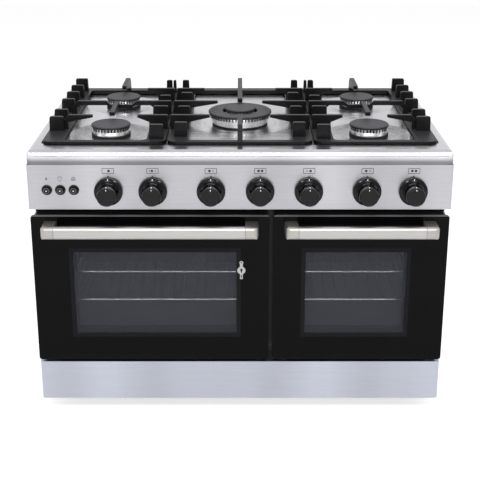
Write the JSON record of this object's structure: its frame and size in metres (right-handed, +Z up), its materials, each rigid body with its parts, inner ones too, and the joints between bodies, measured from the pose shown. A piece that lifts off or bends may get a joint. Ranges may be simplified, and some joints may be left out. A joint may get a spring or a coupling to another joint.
{
  "type": "range cooker",
  "caption": "Free-standing gas range cooker: stainless hob with cast pan supports over a wide and a narrow oven with black glass drop-down doors and bar handles.",
  "frame": {"origin": "on the floor under the middle of the bounding box, handles included", "axes": "+X to the right seen from the front, +Y to the back, +Z up"},
  "size_m": [0.9, 0.65, 0.652],
  "materials": {
    "stainless": "brushed stainless steel, fine horizontal grain",
    "grey_steel": "galvanised and painted sheet, matt",
    "cast_iron": "matt black enamelled cast iron, greyer worn tops",
    "burner_alloy": "bright cast aluminium",
    "burner_enamel": "matt black enamel",
    "burner_cup_dark": "dark heat resistant metal",
    "knob_black": "gloss black with a satin face",
    "bezel_black": "gloss black",
    "spindle_steel": "plain turned steel",
    "gas_brass": "brass taps on a steel rail",
    "black_glass": "gloss black glass with a darker printed edge",
    "clear_glass": "clear glass",
    "oven_enamel": "gloss dark vitreous enamel",
    "black_steel": "matt black",
    "chrome_wire": "chromed wire",
    "satin_nickel": "satin nickel",
    "seal_rubber": "woven and silicone seal, matt",
    "foot_black": "matt black"
  },
  "bodies": {
    "cooker": {"hob_top": "stainless", "burner_cups": "burner_cup_dark", "wok_burner_head": "burner_alloy", "burner_caps": "burner_enamel", "wok_burner_caps": "burner_enamel", "control_panel": "stainless", "button_bezels": "bezel_black", "gas_rail": "gas_brass", "side_panel_left": "grey_steel", "side_panel_right": "grey_steel", "back_panel": "grey_steel", "base_tray": "grey_steel", "front_frame": "black_steel", "plinth": "stainless", "feet": "foot_black", "oven_liner_left": "oven_enamel", "oven_liner_right": "oven_enamel", "shelf_guides": "chrome_wire", "oven_burners": "spindle_steel", "door_seals": "seal_rubber", "hinge_brackets": "spindle_steel", "burner_head_1": "burner_alloy", "burner_head_2": "burner_alloy", "burner_head_3": "burner_alloy", "burner_head_4": "burner_alloy"},
    "pan_support_left": {"pan_support_left": "cast_iron"},
    "pan_support_centre": {"pan_support_centre": "cast_iron"},
    "pan_support_right": {"pan_support_right": "cast_iron"},
    "tap_1": {"tap_spindle_1": "spindle_steel"},
    "knob_1": {"knob_1": "knob_black"},
    "tap_2": {"tap_spindle_2": "spindle_steel"},
    "knob_2": {"knob_2": "knob_black"},
    "tap_3": {"tap_spindle_3": "spindle_steel"},
    "knob_3": {"knob_3": "knob_black"},
    "tap_4": {"tap_spindle_4": "spindle_steel"},
    "knob_4": {"knob_4": "knob_black"},
    "tap_5": {"tap_spindle_5": "spindle_steel"},
    "knob_5": {"knob_5": "knob_black"},
    "tap_6": {"tap_spindle_6": "spindle_steel"},
    "knob_6": {"knob_6": "knob_black"},
    "tap_7": {"tap_spindle_7": "spindle_steel"},
    "knob_7": {"knob_7": "knob_black"},
    "button_1": {"button_1": "bezel_black"},
    "button_2": {"button_2": "bezel_black"},
    "button_3": {"button_3": "bezel_black"},
    "door_left": {"door_glass_left": "black_glass", "door_pan_left": "black_steel", "inner_glass_left": "clear_glass", "handle_bar_left": "satin_nickel", "handle_ends_left": "satin_nickel", "keyhole_plate": "satin_nickel"},
    "rack_left_lower": {"rack_left_lower": "chrome_wire"},
    "rack_left_upper": {"rack_left_upper": "chrome_wire"},
    "door_right": {"door_glass_right": "black_glass", "door_pan_right": "black_steel", "inner_glass_right": "clear_glass", "handle_bar_right": "satin_nickel", "handle_ends_right": "satin_nickel"},
    "rack_right_lower": {"rack_right_lower": "chrome_wire"},
    "rack_right_upper": {"rack_right_upper": "chrome_wire"}
  },
  "joints": [
    {"name": "pan_support_left_lift", "type": "slide", "parent": "cooker", "child": "pan_support_left", "axis": [0, 0, 1], "range_m": [0, 0.08]},
    {"name": "pan_support_centre_lift", "type": "slide", "parent": "cooker", "child": "pan_support_centre", "axis": [0, 0, 1], "range_m": [0, 0.08]},
    {"name": "pan_support_right_lift", "type": "slide", "parent": "cooker", "child": "pan_support_right", "axis": [0, 0, 1], "range_m": [0, 0.08]},
    {"name": "knob_1_push", "type": "slide", "parent": "cooker", "child": "tap_1", "axis": [0, 1, 0], "range_m": [0, 0.003], "stiffness_N_per_m": 800, "springref_m": -0.003},
    {"name": "knob_1_turn", "type": "hinge", "parent": "tap_1", "child": "knob_1", "pos_m": [-0.2783, -0.275, 0.5255], "axis": [0, -1, 0], "range_deg": [0, 210]},
    {"name": "knob_2_push", "type": "slide", "parent": "cooker", "child": "tap_2", "axis": [0, 1, 0], "range_m": [0, 0.003], "stiffness_N_per_m": 800, "springref_m": -0.003},
    {"name": "knob_2_turn", "type": "hinge", "parent": "tap_2", "child": "knob_2", "pos_m": [-0.18433, -0.275, 0.5255], "axis": [0, -1, 0], "range_deg": [0, 210]},
    {"name": "knob_3_push", "type": "slide", "parent": "cooker", "child": "tap_3", "axis": [0, 1, 0], "range_m": [0, 0.003], "stiffness_N_per_m": 800, "springref_m": -0.003},
    {"name": "knob_3_turn", "type": "hinge", "parent": "tap_3", "child": "knob_3", "pos_m": [-0.06137, -0.275, 0.5255], "axis": [0, -1, 0], "range_deg": [0, 210]},
    {"name": "knob_4_push", "type": "slide", "parent": "cooker", "child": "tap_4", "axis": [0, 1, 0], "range_m": [0, 0.003], "stiffness_N_per_m": 800, "springref_m": -0.003},
    {"name": "knob_4_turn", "type": "hinge", "parent": "tap_4", "child": "knob_4", "pos_m": [0.0426, -0.275, 0.5255], "axis": [0, -1, 0], "range_deg": [0, 210]},
    {"name": "knob_5_push", "type": "slide", "parent": "cooker", "child": "tap_5", "axis": [0, 1, 0], "range_m": [0, 0.003], "stiffness_N_per_m": 800, "springref_m": -0.003},
    {"name": "knob_5_turn", "type": "hinge", "parent": "tap_5", "child": "knob_5", "pos_m": [0.14557, -0.275, 0.5255], "axis": [0, -1, 0], "range_deg": [0, 210]},
    {"name": "knob_6_push", "type": "slide", "parent": "cooker", "child": "tap_6", "axis": [0, 1, 0], "range_m": [0, 0.003], "stiffness_N_per_m": 800, "springref_m": -0.003},
    {"name": "knob_6_turn", "type": "hinge", "parent": "tap_6", "child": "knob_6", "pos_m": [0.26853, -0.275, 0.5255], "axis": [0, -1, 0], "range_deg": [0, 210]},
    {"name": "knob_7_push", "type": "slide", "parent": "cooker", "child": "tap_7", "axis": [0, 1, 0], "range_m": [0, 0.003], "stiffness_N_per_m": 800, "springref_m": -0.003},
    {"name": "knob_7_turn", "type": "hinge", "parent": "tap_7", "child": "knob_7", "pos_m": [0.3665, -0.275, 0.5255], "axis": [0, -1, 0], "range_deg": [0, 210]},
    {"name": "button_1_press", "type": "slide", "parent": "cooker", "child": "button_1", "axis": [0, 1, 0], "range_m": [0, 0.0035], "stiffness_N_per_m": 300, "springref_m": -0.003},
    {"name": "button_2_press", "type": "slide", "parent": "cooker", "child": "button_2", "axis": [0, 1, 0], "range_m": [0, 0.0035], "stiffness_N_per_m": 300, "springref_m": -0.003},
    {"name": "button_3_press", "type": "slide", "parent": "cooker", "child": "button_3", "axis": [0, 1, 0], "range_m": [0, 0.0035], "stiffness_N_per_m": 300, "springref_m": -0.003},
    {"name": "door_left_open", "type": "hinge", "parent": "cooker", "child": "door_left", "pos_m": [-0.19225, -0.262, 0.1425], "axis": [1, 0, 0], "range_deg": [0, 90]},
    {"name": "rack_left_lower_slide", "type": "slide", "parent": "cooker", "child": "rack_left_lower", "axis": [0, -1, 0], "range_m": [0, 0.158]},
    {"name": "rack_left_upper_slide", "type": "slide", "parent": "cooker", "child": "rack_left_upper", "axis": [0, -1, 0], "range_m": [0, 0.268]},
    {"name": "door_right_open", "type": "hinge", "parent": "cooker", "child": "door_right", "pos_m": [0.25975, -0.262, 0.1425], "axis": [1, 0, 0], "range_deg": [0, 90]},
    {"name": "rack_right_lower_slide", "type": "slide", "parent": "cooker", "child": "rack_right_lower", "axis": [0, -1, 0], "range_m": [0, 0.158]},
    {"name": "rack_right_upper_slide", "type": "slide", "parent": "cooker", "child": "rack_right_upper", "axis": [0, -1, 0], "range_m": [0, 0.268]}
  ],
  "couplings": [
    {"joint": "rack_left_lower_slide", "follows": "door_left_open", "m_per_rad": 0.1},
    {"joint": "rack_left_upper_slide", "follows": "door_left_open", "m_per_rad": 0.17},
    {"joint": "rack_right_lower_slide", "follows": "door_right_open", "m_per_rad": 0.1},
    {"joint": "rack_right_upper_slide", "follows": "door_right_open", "m_per_rad": 0.17}
  ]
}
